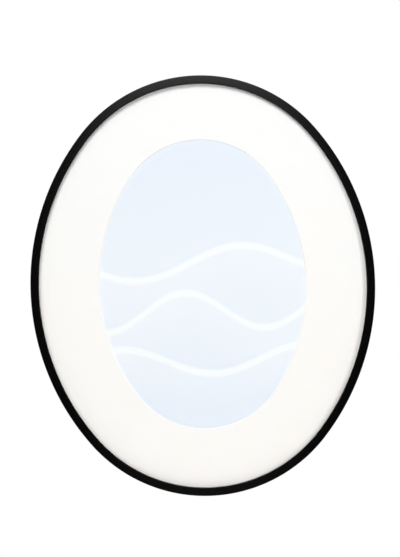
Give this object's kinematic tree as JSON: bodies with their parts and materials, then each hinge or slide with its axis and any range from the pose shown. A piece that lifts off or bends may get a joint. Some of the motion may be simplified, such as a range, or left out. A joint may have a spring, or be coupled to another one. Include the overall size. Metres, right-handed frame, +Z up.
{
  "type": "oval picture frame",
  "caption": "Oval wall picture frame: slim black jointed wood rim, glazing, white window mat and print, with turn buttons and a ring hanger on the back.",
  "frame": {"origin": "the wall plane behind the frame, at the nail under the inside top of the hanger ring", "axes": "+Z up along the oval's long axis, +Y into the wall, +X to the viewer's right"},
  "size_m": [0.5152, 0.022, 0.6288],
  "materials": {
    "rim_lacquer": "satin black lacquer",
    "clear_glazing": "clear float glass",
    "mat_white": "smooth white mat board",
    "print_paper": "matt printed paper",
    "corrugated_board": "brown corrugated board",
    "hardboard": "smooth brown hardboard",
    "zinc_steel": "bright zinc plate",
    "nickel_wire": "nickel plate",
    "bumper_rubber": "matt black rubber"
  },
  "bodies": {
    "frame": {"rim_top": "rim_lacquer", "rim_right": "rim_lacquer", "rim_bottom": "rim_lacquer", "rim_left": "rim_lacquer", "glazing": "clear_glazing", "window_mat": "mat_white", "picture_print": "print_paper", "filler_board": "corrugated_board", "backing_board": "hardboard", "pivot_screws": "zinc_steel", "hanger_strap": "zinc_steel", "hanger_rivets": "zinc_steel", "bumper_left": "bumper_rubber", "bumper_right": "bumper_rubber"},
    "turn_button_right_upper": {"turn_button_right_upper": "zinc_steel"},
    "turn_button_top_right": {"turn_button_top_right": "zinc_steel"},
    "turn_button_top_left": {"turn_button_top_left": "zinc_steel"},
    "turn_button_left_upper": {"turn_button_left_upper": "zinc_steel"},
    "turn_button_left_lower": {"turn_button_left_lower": "zinc_steel"},
    "turn_button_bottom_left": {"turn_button_bottom_left": "zinc_steel"},
    "turn_button_bottom_right": {"turn_button_bottom_right": "zinc_steel"},
    "turn_button_right_lower": {"turn_button_right_lower": "zinc_steel"},
    "hanger_ring": {"hanger_ring": "nickel_wire"}
  },
  "joints": [
    {"name": "turn_button_right_upper_swivel", "type": "hinge", "parent": "frame", "child": "turn_button_right_upper", "pos_m": [0.2318, -0.005, -0.12877], "axis": [0, 1, 0], "continuous": true},
    {"name": "turn_button_top_right_swivel", "type": "hinge", "parent": "frame", "child": "turn_button_top_right", "pos_m": [0.09383, -0.005, 0.0372], "axis": [0, 1, 0], "continuous": true},
    {"name": "turn_button_top_left_swivel", "type": "hinge", "parent": "frame", "child": "turn_button_top_left", "pos_m": [-0.09383, -0.005, 0.0372], "axis": [0, 1, 0], "continuous": true},
    {"name": "turn_button_left_upper_swivel", "type": "hinge", "parent": "frame", "child": "turn_button_left_upper", "pos_m": [-0.2318, -0.005, -0.12877], "axis": [0, 1, 0], "continuous": true},
    {"name": "turn_button_left_lower_swivel", "type": "hinge", "parent": "frame", "child": "turn_button_left_lower", "pos_m": [-0.2318, -0.005, -0.37603], "axis": [0, 1, 0], "continuous": true},
    {"name": "turn_button_bottom_left_swivel", "type": "hinge", "parent": "frame", "child": "turn_button_bottom_left", "pos_m": [-0.09383, -0.005, -0.542], "axis": [0, 1, 0], "continuous": true},
    {"name": "turn_button_bottom_right_swivel", "type": "hinge", "parent": "frame", "child": "turn_button_bottom_right", "pos_m": [0.09383, -0.005, -0.542], "axis": [0, 1, 0], "continuous": true},
    {"name": "turn_button_right_lower_swivel", "type": "hinge", "parent": "frame", "child": "turn_button_right_lower", "pos_m": [0.2318, -0.005, -0.37603], "axis": [0, 1, 0], "continuous": true},
    {"name": "hanger_ring_swing", "type": "hinge", "parent": "frame", "child": "hanger_ring", "pos_m": [0, -0.00319, -0.01639], "axis": [-1, 0, 0], "range_deg": [0, 172]}
  ]
}
